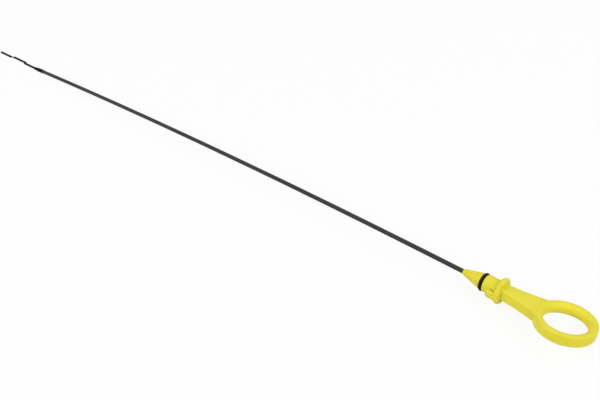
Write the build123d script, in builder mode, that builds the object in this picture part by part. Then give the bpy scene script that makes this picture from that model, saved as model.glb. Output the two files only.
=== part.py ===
from build123d import *
import os
from math import asin, atan2, cos, degrees, hypot, radians, sin, sqrt, tan

# Engine oil dipstick: a moulded pull-ring handle, its sealing ring, a bowed rod and a stepped gauge tip.
# The plug's axis is X. The gauge tip lies towards -X, the pull ring towards +X and up is +Z.
# The origin is the centre of the collar's front face, which seats on the mouth of the dipstick tube.
# The part lies at rest on its collar, the far edge of its pull ring and the end of its gauge tip.

# Collar and barrel
collar_diameter = 17.0
collar_thickness = 3.3
collar_rim_ease = 1.6
barrel_diameter = 11.2
plug_edge_chamfer = 0.25

# Sealing ring and its groove
seal_distance = 10.4
seal_depth = 1.9
seal_width = 2.1
seal_crown_ease = 0.95
seal_proud = 0.4
groove_side_clearance = 0.1

# Cone-shaped nose
nose_length = 13.6
nose_base_diameter = 10.7
nose_tip_wall = 0.35

# Forward tongue on the collar
tongue_reach = 4.8
tongue_width = 4.8
tongue_thickness = 1.9
tongue_inset = 0.05
tongue_drop_angle = 11.5
tongue_corner_radius = 1.3
tongue_root_radius = 1.3
tongue_root_shoulder = 1.6

# Stem and pull ring
ring_distance = 43.15
ring_diameter = 36.3
ring_height = 7.2
ring_edge_ease = 1.3
finger_hole_diameter = 25.5
hole_edge_ease = 3.2
stem_height = 6.8
stem_edge_radius = 0.9
stem_root_width = 9.5
stem_flare_width = 19.1
stem_flare_radius = 119.0
stem_junction_radius = 3.0
stem_hold = 0.1

# Rod
rod_diameter = 3.0
rod_length = 443.9
rod_anchor_depth = 27.0
rod_bow_radius = 8850.0
rod_neck_step = 0.6
rod_neck_length = 5.0

# Gauge tip, with its level marks measured from the socket's mouth
socket_lip = 0.2
socket_length = 6.3
socket_taper = 9.0
full_mark_distance = 28.6
full_mark_step = 1.05
full_mark_lag = 0.9
low_mark_distance = 48.9
low_mark_step = 1.15
low_mark_lag = 2.9
mark_ramp = 0.6
tip_length = 70.0
strip_width = 1.85
strip_thickness = 1.0
strip_turn = 2.1
strip_end_radius = 0.45

# A square corner is eased by flats that touch a round of the ease's size and share its turn equally
ease_flats = 3
ease_turn = radians(90 / (ease_flats + 1))


def eased(corner, ease, arrive, leave):
    arrive = Vector(*arrive)
    leave = Vector(*leave)
    centre = Vector(*corner) + (leave - arrive) * ease
    reach = ease / cos(ease_turn / 2)
    turns = [(step + 0.5) * ease_turn for step in range(ease_flats + 1)]
    return [centre + (arrive * sin(turn) - leave * cos(turn)) * reach for turn in turns]


# Sizes that follow from those above
collar_radius = collar_diameter / 2
half_collar = collar_thickness / 2
barrel_radius = barrel_diameter / 2
seal_radius = barrel_radius + seal_proud
groove_radius = seal_radius - seal_depth
seal_back = -seal_distance + seal_width / 2
seal_front = -seal_distance - seal_width / 2
groove_width = seal_width + 2 * groove_side_clearance
groove_back = -seal_distance + groove_width / 2
groove_front = -seal_distance - groove_width / 2
nose_end = groove_front - nose_length
rod_radius = rod_diameter / 2
ring_radius = ring_diameter / 2
hole_radius = finger_hole_diameter / 2
half_height = ring_height / 2
crest_radius = ring_radius - ring_edge_ease * (1 - tan(ease_turn / 2))
band_radius = (ring_radius + hole_radius) / 2
stem_rise = stem_height / 2

# The grip rolls about the plug's axis until the far edge of the ring is as low as the collar
grip_roll = asin(collar_radius / hypot(crest_radius, half_height)) - atan2(half_height, crest_radius)
grip_up = Vector(0, sin(grip_roll), cos(grip_roll))
grip_plane = Plane(origin=(0, 0, 0), x_dir=(1, 0, 0), z_dir=grip_up)
ring_axis = Axis((ring_distance, 0, 0), grip_up)
ring_section = Plane(origin=(ring_distance, 0, 0), x_dir=(1, 0, 0), z_dir=-grip_plane.y_dir)

# The rod's bow leans over until the end of the gauge tip is as low as the collar
bow_angle = rod_length / rod_bow_radius
bow_reach = rod_bow_radius * (1 - cos(bow_angle)) + tip_length * sin(bow_angle)
bow_lean = asin((collar_radius - strip_thickness / 2) / bow_reach)
bow_plane = Plane(origin=(nose_end, 0, 0), x_dir=(-1, 0, 0), z_dir=(0, -sin(bow_lean), cos(bow_lean)))

# Tongue: a window cut from a sleeve, with its root flared into the collar
tongue_outer = collar_radius - tongue_inset
tongue_angle = radians(tongue_drop_angle)
tongue_out = -grip_plane.y_dir * cos(tongue_angle) - grip_plane.z_dir * sin(tongue_angle)
tongue_plane = Plane(origin=(0, 0, 0), x_dir=(-1, 0, 0), z_dir=tongue_out)
tongue_root = -half_collar
tongue_hold = half_collar / 2

with BuildPart() as tongue:
    with BuildSketch(tongue_plane) as window:
        with Locations((tongue_root, 0)):
            Rectangle(tongue_reach - tongue_root, tongue_width, align=(Align.MIN, Align.CENTER))
            Rectangle(tongue_hold, tongue_width + 2 * tongue_root_shoulder, align=(Align.MIN, Align.CENTER))
        fillet(window.vertices().group_by(Axis.X)[-1], radius=tongue_corner_radius)
        inner_corners = window.vertices().group_by(Axis.X)[1].sort_by(Axis.Y)[1:3]
        fillet(inner_corners, radius=tongue_root_radius)
    extrude(amount=tongue_outer)
    with BuildSketch(Plane.YZ.offset(-tongue_reach)):
        Circle(tongue_outer)
        Circle(tongue_outer - tongue_thickness, mode=Mode.SUBTRACT)
    extrude(amount=tongue_reach + half_collar, mode=Mode.INTERSECT)

# The stem's flanks sweep into a hoop that stays just inside the ring, where the ring is as high as the stem
hoop_radius = crest_radius + (half_height - stem_rise) / tan(ease_turn) - stem_hold
flare_end = ring_distance - sqrt(hoop_radius**2 - (stem_flare_width / 2) ** 2)

# Handle: stem and pull ring first, then the turned plug, its tongue and the rod's socket
with BuildPart() as handle:
    with BuildSketch(grip_plane) as grip:
        with BuildLine():
            root = Line((half_collar, 0), (half_collar, stem_root_width / 2))
            flank = RadiusArc(root @ 1, (flare_end, stem_flare_width / 2), -stem_flare_radius)
            Line(flank @ 1, (ring_distance, 0))
            mirror(about=Plane.XZ)
        make_face()
        with Locations((ring_distance, 0)):
            Circle(hoop_radius)
        fillet(grip.vertices().group_by(Axis.X)[1], radius=stem_junction_radius)
        with Locations((ring_distance, 0)):
            Circle(band_radius, mode=Mode.SUBTRACT)
    extrude(amount=stem_rise, both=True)
    flank_edges = handle.edges().filter_by(GeomType.CIRCLE).group_by(SortBy.RADIUS)[-1]
    fillet(flank_edges, radius=stem_edge_radius)

    with BuildSketch(ring_section):
        with BuildLine():
            Polyline(
                *eased((hole_radius, -half_height), hole_edge_ease, (-1, 0), (0, 1)),
                *eased((hole_radius, half_height), hole_edge_ease, (0, 1), (1, 0)),
                *eased((ring_radius, half_height), ring_edge_ease, (1, 0), (0, -1)),
                *eased((ring_radius, -half_height), ring_edge_ease, (0, -1), (-1, 0)),
                close=True,
            )
        make_face()
    revolve(axis=ring_axis)

    with BuildSketch(Plane.XY) as plug:
        with BuildLine():
            Polyline(
                (collar_thickness, 0),
                (nose_end, 0),
                (nose_end, rod_radius + nose_tip_wall),
                (groove_front, nose_base_diameter / 2),
                (groove_front, groove_radius),
                (groove_back, groove_radius),
                (groove_back, barrel_radius),
                (0, barrel_radius),
                *eased((0, collar_radius), collar_rim_ease, (0, 1), (1, 0)),
                *eased((collar_thickness, collar_radius), collar_rim_ease, (1, 0), (0, -1)),
                close=True,
            )
        make_face()
        chamfer(plug.vertices().sort_by_distance((groove_back, barrel_radius))[0], length=plug_edge_chamfer)
        chamfer(plug.vertices().sort_by_distance((groove_front, barrel_radius))[0], length=plug_edge_chamfer)
    revolve(axis=Axis.X)
    add(tongue.part)

    with BuildSketch(Plane.YZ.offset(nose_end)):
        Circle(rod_radius)
    extrude(amount=rod_anchor_depth, mode=Mode.SUBTRACT)

# Sealing ring: a cord squeezed flat on the floor of its groove, with an eased crown
with BuildPart() as o_ring:
    with BuildSketch(Plane.XY):
        with BuildLine():
            Polyline(
                (seal_back, groove_radius),
                (seal_front, groove_radius),
                *eased((seal_front, seal_radius), seal_crown_ease, (0, 1), (1, 0)),
                *eased((seal_back, seal_radius), seal_crown_ease, (1, 0), (0, -1)),
                close=True,
            )
        make_face()
    revolve(axis=Axis.X)

# Rod: straight inside the handle, bowed outside it, with a turned-down neck for the gauge tip
with BuildPart() as rod:
    with BuildSketch(Plane.YZ.offset(nose_end)):
        Circle(rod_radius)
    extrude(amount=rod_anchor_depth)
    with BuildLine(bow_plane) as bow:
        JernArc((0, 0), (1, 0), rod_bow_radius, degrees(bow_angle))
    with BuildSketch(Plane(origin=(nose_end, 0, 0), z_dir=(-1, 0, 0))):
        Circle(rod_radius)
    sweep(path=bow.line)
    tip_way = bow.line % 1
    tip_side = tip_way.cross(Vector(0, 0, 1)).normalized()
    tip_plane = Plane(origin=bow.line @ 1, x_dir=tip_side, z_dir=tip_way)
    with BuildSketch(tip_plane):
        Circle(rod_radius - rod_neck_step)
    extrude(amount=rod_neck_length)

# Gauge tip: a socket that tapers to a flat strip, whose far and near sides step at the two level marks
strip_start = socket_length + socket_taper
strip_angle = radians(strip_turn)
strip_way = tip_way * cos(strip_angle) + tip_side * sin(strip_angle)
strip_side = tip_side * cos(strip_angle) - tip_way * sin(strip_angle)
strip_origin = tip_plane.origin + tip_way * strip_start
strip_section = Plane(origin=strip_origin, x_dir=strip_side, z_dir=strip_way)
strip_plane = Plane(origin=strip_origin, x_dir=strip_way, z_dir=strip_way.cross(strip_side))
strip_end = tip_length - strip_start
full_mark = full_mark_distance - strip_start
low_mark = low_mark_distance - strip_start
half_width = strip_width / 2
low_shift = full_mark_step - low_mark_step

with BuildPart() as gauge_tip:
    with BuildSketch(tip_plane):
        Circle(rod_radius + socket_lip)
    extrude(amount=socket_length)
    with BuildSketch(tip_plane.offset(socket_length)):
        Circle(rod_radius + socket_lip)
    with BuildSketch(strip_section):
        Rectangle(strip_width, strip_thickness)
    loft()
    with BuildSketch(strip_plane) as strip:
        with BuildLine():
            Polyline(
                (0, half_width),
                (full_mark, half_width),
                (full_mark + mark_ramp, half_width + full_mark_step),
                (low_mark, half_width + full_mark_step),
                (low_mark + mark_ramp, half_width + low_shift),
                (strip_end, half_width + low_shift),
                (strip_end, low_shift - half_width),
                (low_mark + low_mark_lag + mark_ramp, low_shift - half_width),
                (low_mark + low_mark_lag, full_mark_step - half_width),
                (full_mark + full_mark_lag + mark_ramp, full_mark_step - half_width),
                (full_mark + full_mark_lag, -half_width),
                (0, -half_width),
                close=True,
            )
        make_face()
        fillet(strip.vertices().group_by(Axis.X)[-1], radius=strip_end_radius)
    extrude(amount=strip_thickness / 2, both=True)
    with BuildSketch(tip_plane):
        Circle(rod_radius - rod_neck_step)
    extrude(amount=rod_neck_length, mode=Mode.SUBTRACT)

# One file for each piece
os.makedirs("parts", exist_ok=True)
handle.part.label = "handle"
o_ring.part.label = "o_ring"
rod.part.label = "rod"
gauge_tip.part.label = "gauge_tip"
export_step(handle.part, "parts/handle.step")
export_step(o_ring.part, "parts/o_ring.step")
export_step(rod.part, "parts/rod.step")
export_step(gauge_tip.part, "parts/gauge_tip.step")
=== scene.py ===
from math import cos, pi, radians, sin

import bmesh
import bpy
import numpy as np
from mathutils import Matrix, Vector


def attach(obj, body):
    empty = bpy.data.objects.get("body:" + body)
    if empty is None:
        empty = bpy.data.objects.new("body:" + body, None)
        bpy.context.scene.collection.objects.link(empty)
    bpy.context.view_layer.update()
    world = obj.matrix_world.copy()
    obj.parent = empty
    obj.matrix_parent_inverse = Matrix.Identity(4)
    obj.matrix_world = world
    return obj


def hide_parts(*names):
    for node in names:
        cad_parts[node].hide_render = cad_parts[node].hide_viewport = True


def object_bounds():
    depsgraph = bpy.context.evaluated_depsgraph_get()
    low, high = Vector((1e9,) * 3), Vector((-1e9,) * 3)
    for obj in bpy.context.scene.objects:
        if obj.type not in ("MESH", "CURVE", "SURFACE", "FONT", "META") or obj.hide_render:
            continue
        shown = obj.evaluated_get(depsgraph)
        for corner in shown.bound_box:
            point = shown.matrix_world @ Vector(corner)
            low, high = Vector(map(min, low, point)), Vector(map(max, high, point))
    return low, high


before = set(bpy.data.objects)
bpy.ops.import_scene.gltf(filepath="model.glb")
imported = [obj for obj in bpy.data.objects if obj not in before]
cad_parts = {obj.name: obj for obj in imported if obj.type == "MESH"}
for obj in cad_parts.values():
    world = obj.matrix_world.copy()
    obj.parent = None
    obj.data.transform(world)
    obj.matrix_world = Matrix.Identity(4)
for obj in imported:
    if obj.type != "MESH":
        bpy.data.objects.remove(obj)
cad_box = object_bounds()

MM = 0.001

# The handle: its grip's roll about the plug's axis, the cells of its mesh, the rounds that wear its
# edges, where the stem starts to blend into the pull ring and the rounds that fill that blend
GRIP_ROLL = radians(17.207)
HANDLE_CELL = 0.25 * MM
HANDLE_WEAR_ROUNDS = 4
BLEND_FROM = 18.0 * MM
BLEND_ROUNDS = 120

# The measuring tip: the cells of its mesh and the rounds that wear its edges
TIP_CELL = 0.10 * MM
TIP_WEAR_ROUNDS = 3

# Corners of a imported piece's triangles that are closer than this are one corner
SAME_CORNER = 0.0005 * MM

# The sealing ring, along the plug's axis and out from it, with the fine line that its mould leaves
SEAL_PLACE = -10.4 * MM
SEAL_INNER = 4.1 * MM
SEAL_OUTER = 6.0 * MM
SEAL_WIDTH = 2.1 * MM
SEAL_LINE_WIDTH = 0.07 * MM
SEAL_LINE_HEIGHT = 0.025 * MM
SEAL_STEPS = 192
SEAL_SIDES = 64

# The rod, from its end inside the handle: straight, then bowed in a leaning plane, then its neck
ROD_START = 1.85 * MM
ROD_ANCHOR = 27.0 * MM
ROD_LENGTH = 443.9 * MM
ROD_BOW_RADIUS = 8850.0 * MM
ROD_LEAN = radians(33.1240)
ROD_RADIUS = 1.5 * MM
ROD_STEPS = 240
ROD_SIDES = 40
NECK_RADIUS = 0.9 * MM
NECK_LENGTH = 5.0 * MM
NECK_SHOULDER = 0.02 * MM

# Cells to the metre of the grain that a mould leaves on both plastics
MOULD_GRAIN = 5200.0

# The studio: the floor's half width and colour, where its shade gives way to white and the share of
# white before and after that, and the strength of the surround's light on the part
WHITE = (1, 1, 1, 1)
FLOOR_REACH = 6.0
FLOOR_COLOUR = (0.86, 0.86, 0.86, 1)
SHADE_FROM, SHADE_TO = 0.6, 1.6
WHITE_NEAR, WHITE_FAR = 0.9, 1.0
FILL_LIGHT = 0.04

# The softboxes: where each one stands and its power, then their size and the spot that they face
SOFTBOXES = {
    "right_softbox": ((1.1, 0.0, 0.9), 14.5),
    "front_left_softbox": ((-1.0, -0.8, 0.8), 10.6),
    "back_softbox": ((-0.2, 0.9, 1.1), 8.5),
    "front_softbox": ((-0.2, -0.9, 1.1), 6.5),
}
SOFTBOX_WIDTH = 1.4
SOFTBOX_HEIGHT = 1.2
LIT_SPOT = Vector((-0.15, 0.0, 0.0))

# The photo's camera: where it stands, and where its right, its top and its back point
CAMERA_PLACE = Vector((0.16733, -0.30238, 0.38034))
CAMERA_RIGHT = Vector((0.73886, 0.66502, -0.10879))
CAMERA_UP = Vector((-0.38302, 0.54728, 0.74417))
CAMERA_BACK = Vector((0.55442, -0.50817, 0.65908))


class Wire:
    """A node's socket that can be used in sums: each operator adds its own Math node."""

    def __init__(self, tree, socket=None):
        self.tree = tree
        self.socket = socket

    def node(self, kind, settings=None, inputs=None, output=0):
        """Any node by its type: settings come first, then the values or links of its sockets."""
        made = self.tree.nodes.new(kind)
        for name, setting in (settings or {}).items():
            setattr(made, name, setting)
        for name, value in (inputs or {}).items():
            if isinstance(value, Wire):
                self.tree.links.new(value.socket, made.inputs[name])
            else:
                made.inputs[name].default_value = value
        return Wire(self.tree, None if output is None else made.outputs[output])

    def other(self, output):
        """Another output of the node that this socket is on."""
        return Wire(self.tree, self.socket.node.outputs[output])

    def maths(self, operation, *others):
        """A Math node on this value and any others."""
        inputs = dict(enumerate((self, *others)))
        return self.node("ShaderNodeMath", {"operation": operation}, inputs)

    def __add__(self, other):
        return self.maths("ADD", other)

    __radd__ = __add__

    def __sub__(self, other):
        return self.maths("SUBTRACT", other)

    def __rsub__(self, other):
        return self.node("ShaderNodeMath", {"operation": "SUBTRACT"}, {0: other, 1: self})

    def __mul__(self, other):
        return self.maths("MULTIPLY", other)

    __rmul__ = __mul__

    def __truediv__(self, other):
        return self.maths("DIVIDE", other)

    def __rtruediv__(self, other):
        return self.node("ShaderNodeMath", {"operation": "DIVIDE"}, {0: other, 1: self})

    def __abs__(self):
        return self.maths("ABSOLUTE")

    def ramp(self, low, high, start=0.0, end=1.0):
        """A smooth step from start to end as this value goes from low to high."""
        sockets = {"Value": self, "From Min": low, "From Max": high, "To Min": start, "To Max": end}
        return self.node("ShaderNodeMapRange", {"interpolation_type": "SMOOTHSTEP"}, sockets)

    def noise(self, scale, detail=2.0, roughness=0.5):
        """Noise in this vector, with scale in cells to the metre."""
        sockets = {"Vector": self, "Scale": scale, "Detail": detail, "Roughness": roughness}
        return self.node("ShaderNodeTexNoise", None, sockets)

    def stretched(self, along):
        """This vector with its X drawn out, so that noise in it runs along the rod."""
        return self.node("ShaderNodeMapping", None, {"Vector": self, "Scale": (along, 1.0, 1.0)})

    def blend(self, first, second):
        """The first colour where this value is 0 and the second where it is 1."""
        settings = {"data_type": "RGBA"}
        return self.node("ShaderNodeMix", settings, {0: self, 6: first, 7: second}, output=2)

    def bump(self, depth, strength, normal=None):
        """A Bump node whose height is this value times depth, in metres."""
        sockets = {"Height": self, "Distance": depth, "Strength": strength}
        if normal is not None:
            sockets["Normal"] = normal
        return self.node("ShaderNodeBump", None, sockets)


def finish_material(name):
    """A new material, its shader and a Wire on the surface's own coordinates."""
    material = bpy.data.materials.new(name)
    material.use_nodes = True
    shader = material.node_tree.nodes["Principled BSDF"]
    place = Wire(material.node_tree).node("ShaderNodeTexCoord", output="Object")
    return material, shader, place


def feed(shader, **wires):
    """Links wires or sets plain values on the shader's sockets, named with _ for a space."""
    for name, value in wires.items():
        socket = shader.inputs[name.replace("_", " ")]
        if isinstance(value, Wire):
            value.tree.links.new(value.socket, socket)
        else:
            socket.default_value = value


def yellow_plastic():
    """Satin yellow moulding: grain, flow clouds, a parting line, rubbed edges and painted shade in
    its corners.
    """
    material, shader, place = finish_material("handle_yellow_plastic")
    deep, light = (0.745, 0.655, 0.027, 1), (0.775, 0.690, 0.037, 1)
    painted_corner_shade, on_edges = (0.56, 0.42, 0.006, 1), (0.82, 0.76, 0.16, 1)

    across = place.node("ShaderNodeSeparateXYZ", None, {0: place}, output="Y")
    height = across.other("Z")
    off_middle = abs(across * sin(GRIP_ROLL) + height * cos(GRIP_ROLL))
    parting = off_middle.ramp(0.0, 0.11 * MM, start=1.0, end=0.0)

    cloud = place.noise(75.0, detail=3.0).ramp(0.3, 0.7)
    grain = place.noise(MOULD_GRAIN)
    speck = place.noise(900.0, detail=4.0, roughness=0.6)
    bend = place.node("ShaderNodeNewGeometry", output="Pointiness")
    rubbed = bend.ramp(0.53, 0.62) * speck.ramp(0.4, 0.62)
    # Painted shade: where the handle's own surfaces close in, its colour goes to a darker, deeper
    # yellow
    open_air = place.node("ShaderNodeAmbientOcclusion", {"samples": 8, "only_local": True},
                          {"Distance": 1.3 * MM}, output="AO")
    corner = open_air.ramp(0.45, 0.82, start=1.0, end=0.0)

    colour = cloud.blend(deep, light)
    colour = corner.blend(colour, painted_corner_shade)
    colour = (rubbed * 0.5).blend(colour, on_edges)
    rough = cloud * 0.05 + grain * 0.08 + rubbed * 0.12 + 0.40
    relief = grain.bump(depth=0.016 * MM, strength=0.5)
    relief = parting.bump(depth=0.05 * MM, strength=0.8, normal=relief)
    feed(shader, Base_Color=colour, Roughness=rough, Normal=relief, Specular_IOR_Level=0.3)
    return material


def seal_rubber():
    """Black rubber with a soft sheen, a dry bloom in patches and a fine skin."""
    material, shader, place = finish_material("seal_black_rubber")
    black, bloomed = (0.0016, 0.0016, 0.0017, 1), (0.0042, 0.0042, 0.0043, 1)
    bloom = place.noise(700.0, detail=4.0, roughness=0.6).ramp(0.45, 0.75)
    skin = place.noise(6500.0)
    colour = bloom.blend(black, bloomed)
    rough = bloom * 0.12 + skin * 0.1 + 0.24
    relief = skin.bump(depth=0.012 * MM, strength=0.5)
    feed(shader, Base_Color=colour, Roughness=rough, Normal=relief, Specular_IOR_Level=0.11)
    return material


def rod_coating():
    """Dark grey coating on drawn steel: lengthwise draw lines, mottling and dull scuffs."""
    material, shader, place = finish_material("rod_dark_coating")
    dark, pale = (0.027, 0.0265, 0.025, 1), (0.037, 0.036, 0.0335, 1)
    scuffed = (0.075, 0.074, 0.069, 1)
    draw = place.stretched(0.02).noise(3200.0, detail=3.0)
    mottle = place.stretched(0.35).noise(260.0, detail=4.0, roughness=0.6).ramp(0.3, 0.7)
    scuff = place.stretched(0.12).noise(1500.0, detail=5.0, roughness=0.7).ramp(0.60, 0.74)
    colour = mottle.blend(dark, pale)
    colour = (scuff * 0.6).blend(colour, scuffed)
    rough = mottle * 0.06 + draw * 0.12 + scuff * 0.12 + 0.5
    relief = draw.bump(depth=0.02 * MM, strength=0.5)
    feed(shader, Base_Color=colour, Roughness=rough, Normal=relief, Specular_IOR_Level=0.15)
    return material


def tip_plastic():
    """Near-black satin plastic with a fine grain and rubbed edges."""
    material, shader, place = finish_material("tip_black_plastic")
    black, clouded = (0.0015, 0.0015, 0.0016, 1), (0.0032, 0.0032, 0.0031, 1)
    on_edges = (0.014, 0.014, 0.0135, 1)
    grain = place.noise(MOULD_GRAIN)
    cloud = place.noise(240.0, detail=3.0).ramp(0.3, 0.7)
    bend = place.node("ShaderNodeNewGeometry", output="Pointiness")
    rubbed = bend.ramp(0.54, 0.66) * cloud
    colour = cloud.blend(black, clouded)
    colour = (rubbed * 0.4).blend(colour, on_edges)
    rough = cloud * 0.08 + grain * 0.1 + 0.5
    relief = grain.bump(depth=0.014 * MM, strength=0.5)
    feed(shader, Base_Color=colour, Roughness=rough, Normal=relief, Specular_IOR_Level=0.06)
    return material


def add_object(name, mesh, material):
    mesh.materials.append(material)
    made = bpy.data.objects.new(name, mesh)
    bpy.context.scene.collection.objects.link(made)
    return made


def settle(made):
    """Makes what the object's modifiers give its plain mesh, and takes the modifiers off."""
    depsgraph = bpy.context.evaluated_depsgraph_get()
    finished = bpy.data.meshes.new_from_object(made.evaluated_get(depsgraph))
    made.modifiers.clear()
    made.data = finished


def read_out(items, field, width, kind=float):
    """One field of a mesh's vertices or edges as an array with a row for each."""
    values = np.empty(len(items) * width, dtype=kind)
    items.foreach_get(field, values)
    return values.reshape(len(items), width)


def ease(mesh, rounds, wear, fill_from=np.inf):
    """Evens a mesh out, round by round.

    Edges that stand out go down by the share wear, and corners fill up only past fill_from along X.
    """
    spots = read_out(mesh.vertices, "co", 3)
    outwards = read_out(mesh.vertices, "normal", 3)
    ends = read_out(mesh.edges, "vertices", 2, int)
    count = len(spots)
    neighbours = np.bincount(ends.ravel(), minlength=count)
    for _ in range(rounds):
        middle = np.empty_like(spots)
        for axis in range(3):
            reach = spots[:, axis]
            total = np.bincount(ends[:, 0], reach[ends[:, 1]], count)
            total += np.bincount(ends[:, 1], reach[ends[:, 0]], count)
            middle[:, axis] = total / neighbours
        move = (middle - spots) / 2
        rise = (move * outwards).sum(axis=1)
        share = np.where(rise > 0, spots[:, 0] > fill_from, wear)
        spots += move + outwards * (rise * (share - 1))[:, None]
    mesh.vertices.foreach_set("co", spots.ravel())
    mesh.update()


def moulded(node, name, cell, rounds, material, blend_from=None):
    """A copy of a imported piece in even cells, with the eased edges of a moulding.

    Corners that go in stay crisp, except past blend_from along X, where they are filled to a blend.
    """
    copy = bmesh.new()
    copy.from_mesh(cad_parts[node].data)
    bmesh.ops.remove_doubles(copy, verts=copy.verts, dist=SAME_CORNER)
    mesh = bpy.data.meshes.new(name)
    copy.to_mesh(mesh)
    copy.free()
    made = add_object(name, mesh, material)
    remesh = made.modifiers.new("cells", "REMESH")
    remesh.mode = "VOXEL"
    remesh.voxel_size = cell
    remesh.use_smooth_shade = True
    even = made.modifiers.new("even", "SMOOTH")
    even.factor = 0.5
    even.iterations = 2
    settle(made)
    ease(made.data, rounds, wear=1.0)
    if blend_from is not None:
        ease(made.data, BLEND_ROUNDS, wear=0.0, fill_from=blend_from)
    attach(made, "root")
    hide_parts(node)
    return made


def rule_tree(name, sizes):
    """A new Geometry Nodes tree with a named input for each size and one for the material."""
    tree = bpy.data.node_groups.new(name, "GeometryNodeTree")
    tree.interface.new_socket("Geometry", in_out="OUTPUT", socket_type="NodeSocketGeometry")
    for size in sizes:
        tree.interface.new_socket(size, in_out="INPUT", socket_type="NodeSocketFloat")
    tree.interface.new_socket("Material", in_out="INPUT", socket_type="NodeSocketMaterial")
    entry = tree.nodes.new("NodeGroupInput")
    return Wire(tree), {socket.name: Wire(tree, socket) for socket in entry.outputs if socket.name}


def swept(start, path, section, scale, given, capped):
    """Ends a tree: the section along the path, as one smooth mesh in its material."""
    inputs = {"Curve": path, "Profile Curve": section, "Scale": scale, "Fill Caps": capped}
    body = start.node("GeometryNodeCurveToMesh", None, inputs)
    body = start.node("GeometryNodeSetShadeSmooth", None, {"Geometry": body, "Shade Smooth": True})
    body = start.node("GeometryNodeRealizeInstances", None, {"Geometry": body})
    body = start.node("GeometryNodeSetMaterial", None,
                      {"Geometry": body, "Material": given["Material"]})
    start.node("NodeGroupOutput", None, {"Geometry": body}, output=None)


def grown(node, name, start, sizes, material):
    """A piece that a tree makes from its sizes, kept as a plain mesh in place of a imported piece."""
    made = add_object(name, bpy.data.meshes.new(name), material)
    rule = made.modifiers.new("rule", "NODES")
    rule.node_group = start.tree
    for item in start.tree.interface.items_tree:
        if item.in_out == "INPUT":
            rule[item.identifier] = material if item.name == "Material" else sizes[item.name]
    settle(made)
    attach(made, "root")
    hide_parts(node)
    return made


def turned_seal(material):
    """The sealing ring: a cord turned about the plug's axis, with a mould line round its crown."""
    sizes = {
        "Place": SEAL_PLACE,
        "Ring Radius": (SEAL_INNER + SEAL_OUTER) / 2,
        "Cord Depth": (SEAL_OUTER - SEAL_INNER) / 2,
        "Cord Width": SEAL_WIDTH / 2,
        "Line Width": SEAL_LINE_WIDTH,
        "Line Height": SEAL_LINE_HEIGHT,
    }
    start, given = rule_tree("sealing_ring", sizes)
    hoop = start.node("GeometryNodeCurvePrimitiveCircle", {"mode": "RADIUS"},
                      {"Resolution": SEAL_STEPS, "Radius": given["Ring Radius"]})
    stand = start.node("ShaderNodeCombineXYZ", None, {0: given["Place"]})
    hoop = start.node("GeometryNodeTransform", None,
                      {"Geometry": hoop, "Translation": stand, "Rotation": (0.0, pi / 2, 0.0)})
    cord = start.node("GeometryNodeCurvePrimitiveCircle", {"mode": "RADIUS"},
                      {"Resolution": SEAL_SIDES, "Radius": 1.0})
    spot = start.node("GeometryNodeInputPosition")
    out = start.node("ShaderNodeSeparateXYZ", None, {0: spot}, output="Y")
    side = out.other("X") * given["Cord Width"]
    crown = abs(side).ramp(0.0, given["Line Width"], 0.0, given["Line Height"])
    reach = out * given["Cord Depth"] - out.maths("GREATER_THAN", 0.0) * crown
    section = start.node("ShaderNodeCombineXYZ", None, {0: side, 1: reach})
    cord = start.node("GeometryNodeSetPosition", None, {"Geometry": cord, "Position": section})
    swept(start, hoop, cord, 1.0, given, False)
    return grown("o_ring", "seal", start, sizes, material)


def bowed_rod(material):
    """The rod: straight inside the handle, an even bow outside it, a thinner neck in the tip."""
    sizes = {
        "Start": ROD_START,
        "Anchor": ROD_ANCHOR,
        "Length": ROD_LENGTH,
        "Bow Radius": ROD_BOW_RADIUS,
        "Lean": ROD_LEAN,
        "Radius": ROD_RADIUS,
        "Neck Radius": NECK_RADIUS,
        "Neck Length": NECK_LENGTH,
    }
    start, given = rule_tree("bowed_rod", sizes)
    index = start.node("GeometryNodeInputIndex")
    last = float(ROD_STEPS)

    # How far each point is along the rod, and how far the bow has turned there
    run = index.maths("MINIMUM", last) / last * (given["Anchor"] + given["Length"])
    straight = run.maths("MINIMUM", given["Anchor"])
    turn = (run - straight) / given["Bow Radius"]

    # The two points past the last one: the neck's foot, behind a short shoulder, and its end
    past = (index - last).maths("MAXIMUM", 0.0)
    neck = past.maths("MINIMUM", 1.0) * NECK_SHOULDER
    neck = neck + (past - 1.0).maths("MAXIMUM", 0.0) * (given["Neck Length"] - NECK_SHOULDER)

    rise, level = turn.maths("SINE"), turn.maths("COSINE")
    along = straight + rise * given["Bow Radius"] + neck * level
    off = (1.0 - level) * given["Bow Radius"] + neck * rise
    spot = start.node("ShaderNodeCombineXYZ", None, {
        0: given["Start"] - along,
        1: -1.0 * off * given["Lean"].maths("COSINE"),
        2: -1.0 * off * given["Lean"].maths("SINE"),
    })
    path = start.node("GeometryNodeCurvePrimitiveLine", {"mode": "POINTS"})
    path = start.node("GeometryNodeResampleCurve", None, {"Curve": path, "Count": ROD_STEPS + 3})
    path = start.node("GeometryNodeSetPosition", None, {"Geometry": path, "Position": spot})
    section = start.node("GeometryNodeCurvePrimitiveCircle", {"mode": "RADIUS"},
                         {"Resolution": ROD_SIDES, "Radius": 1.0})
    thin = index.maths("GREATER_THAN", last) * (given["Radius"] - given["Neck Radius"])
    swept(start, path, section, given["Radius"] - thin, given, True)
    return grown("rod", "bowed_rod", start, sizes, material)


def seen_directly(wire):
    """1 on rays from the camera, from a shine or through something clear, and 0 on soft light."""
    camera = wire.node("ShaderNodeLightPath", output="Is Camera Ray")
    seen = camera + camera.other("Is Glossy Ray") + camera.other("Is Transmission Ray")
    return seen.maths("MINIMUM", 1.0)


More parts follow.
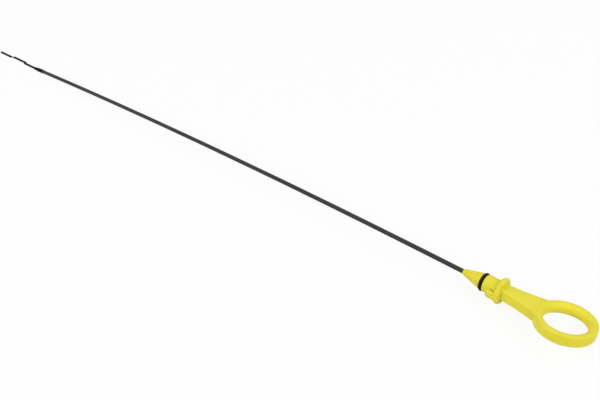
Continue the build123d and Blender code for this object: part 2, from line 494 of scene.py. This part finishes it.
def pale_floor(floor_height):
    """A paper floor that keeps the part's shade close by and goes white further out."""
    mesh = bpy.data.meshes.new("floor")
    sides = [(-1, -1), (1, -1), (1, 1), (-1, 1)]
    corners = [(x * FLOOR_REACH, y * FLOOR_REACH, floor_height) for x, y in sides]
    mesh.from_pydata(corners, [], [(0, 1, 2, 3)])
    paper, shader, place = finish_material("floor_paper")
    rough = place.noise(900.0, detail=3.0) * 0.1 + 0.85
    feed(shader, Base_Color=FLOOR_COLOUR, Roughness=rough, Specular_IOR_Level=0.0)
    body = Wire(place.tree, shader.outputs[0])
    glow = place.node("ShaderNodeEmission", None, {"Color": WHITE, "Strength": 1.0})
    away = place.node("ShaderNodeVectorMath", {"operation": "LENGTH"}, {0: place}, output="Value")
    white = seen_directly(place) * away.ramp(SHADE_FROM, SHADE_TO, WHITE_NEAR, WHITE_FAR)
    mixed = place.node("ShaderNodeMixShader", None, {0: white, 1: body, 2: glow})
    surface = place.tree.nodes["Material Output"].inputs["Surface"]
    place.tree.links.new(mixed.socket, surface)
    add_object("floor", mesh, paper)


def white_surround():
    """White wherever it is seen, with only a little light on the part."""
    world = bpy.data.worlds.new("surround")
    world.use_nodes = True
    bpy.context.scene.world = world
    seen = seen_directly(Wire(world.node_tree))
    backdrop = world.node_tree.nodes["Background"]
    feed(backdrop, Color=WHITE, Strength=seen.ramp(0.0, 1.0, FILL_LIGHT, 1.0))


def soft_lights():
    """Broad softboxes round the part, which the camera doesn't see."""
    for name, (spot, power) in SOFTBOXES.items():
        softbox = bpy.data.lights.new(name, "AREA")
        softbox.shape = "RECTANGLE"
        softbox.size = SOFTBOX_WIDTH
        softbox.size_y = SOFTBOX_HEIGHT
        softbox.energy = power
        lamp = bpy.data.objects.new(name, softbox)
        lamp.location = spot
        aim = LIT_SPOT - lamp.location
        lamp.rotation_euler = aim.to_track_quat("-Z", "Y").to_euler()
        lamp.visible_camera = False
        bpy.context.scene.collection.objects.link(lamp)


def photo_camera():
    """The camera of the photograph: a 50 mm lens above the pull ring's near side."""
    lens = bpy.data.cameras.new("photo_camera")
    lens.lens = 50.0
    lens.sensor_width = 36.0
    lens.sensor_fit = "HORIZONTAL"
    lens.clip_start = 0.01
    lens.clip_end = 20.0
    camera = bpy.data.objects.new("photo_camera", lens)
    turned = Matrix((CAMERA_RIGHT, CAMERA_UP, CAMERA_BACK)).transposed().to_4x4()
    camera.matrix_world = Matrix.Translation(CAMERA_PLACE) @ turned
    bpy.context.scene.collection.objects.link(camera)
    bpy.context.scene.camera = camera


photo_camera()
pale_floor(cad_box[0].z)
white_surround()
soft_lights()
bpy.context.scene.view_settings.view_transform = "Standard"

handle = moulded("handle", "pull_handle", HANDLE_CELL, HANDLE_WEAR_ROUNDS, yellow_plastic(),
                 BLEND_FROM)
seal = turned_seal(seal_rubber())
rod = bowed_rod(rod_coating())
tip = moulded("gauge_tip", "measuring_tip", TIP_CELL, TIP_WEAR_ROUNDS, tip_plastic())
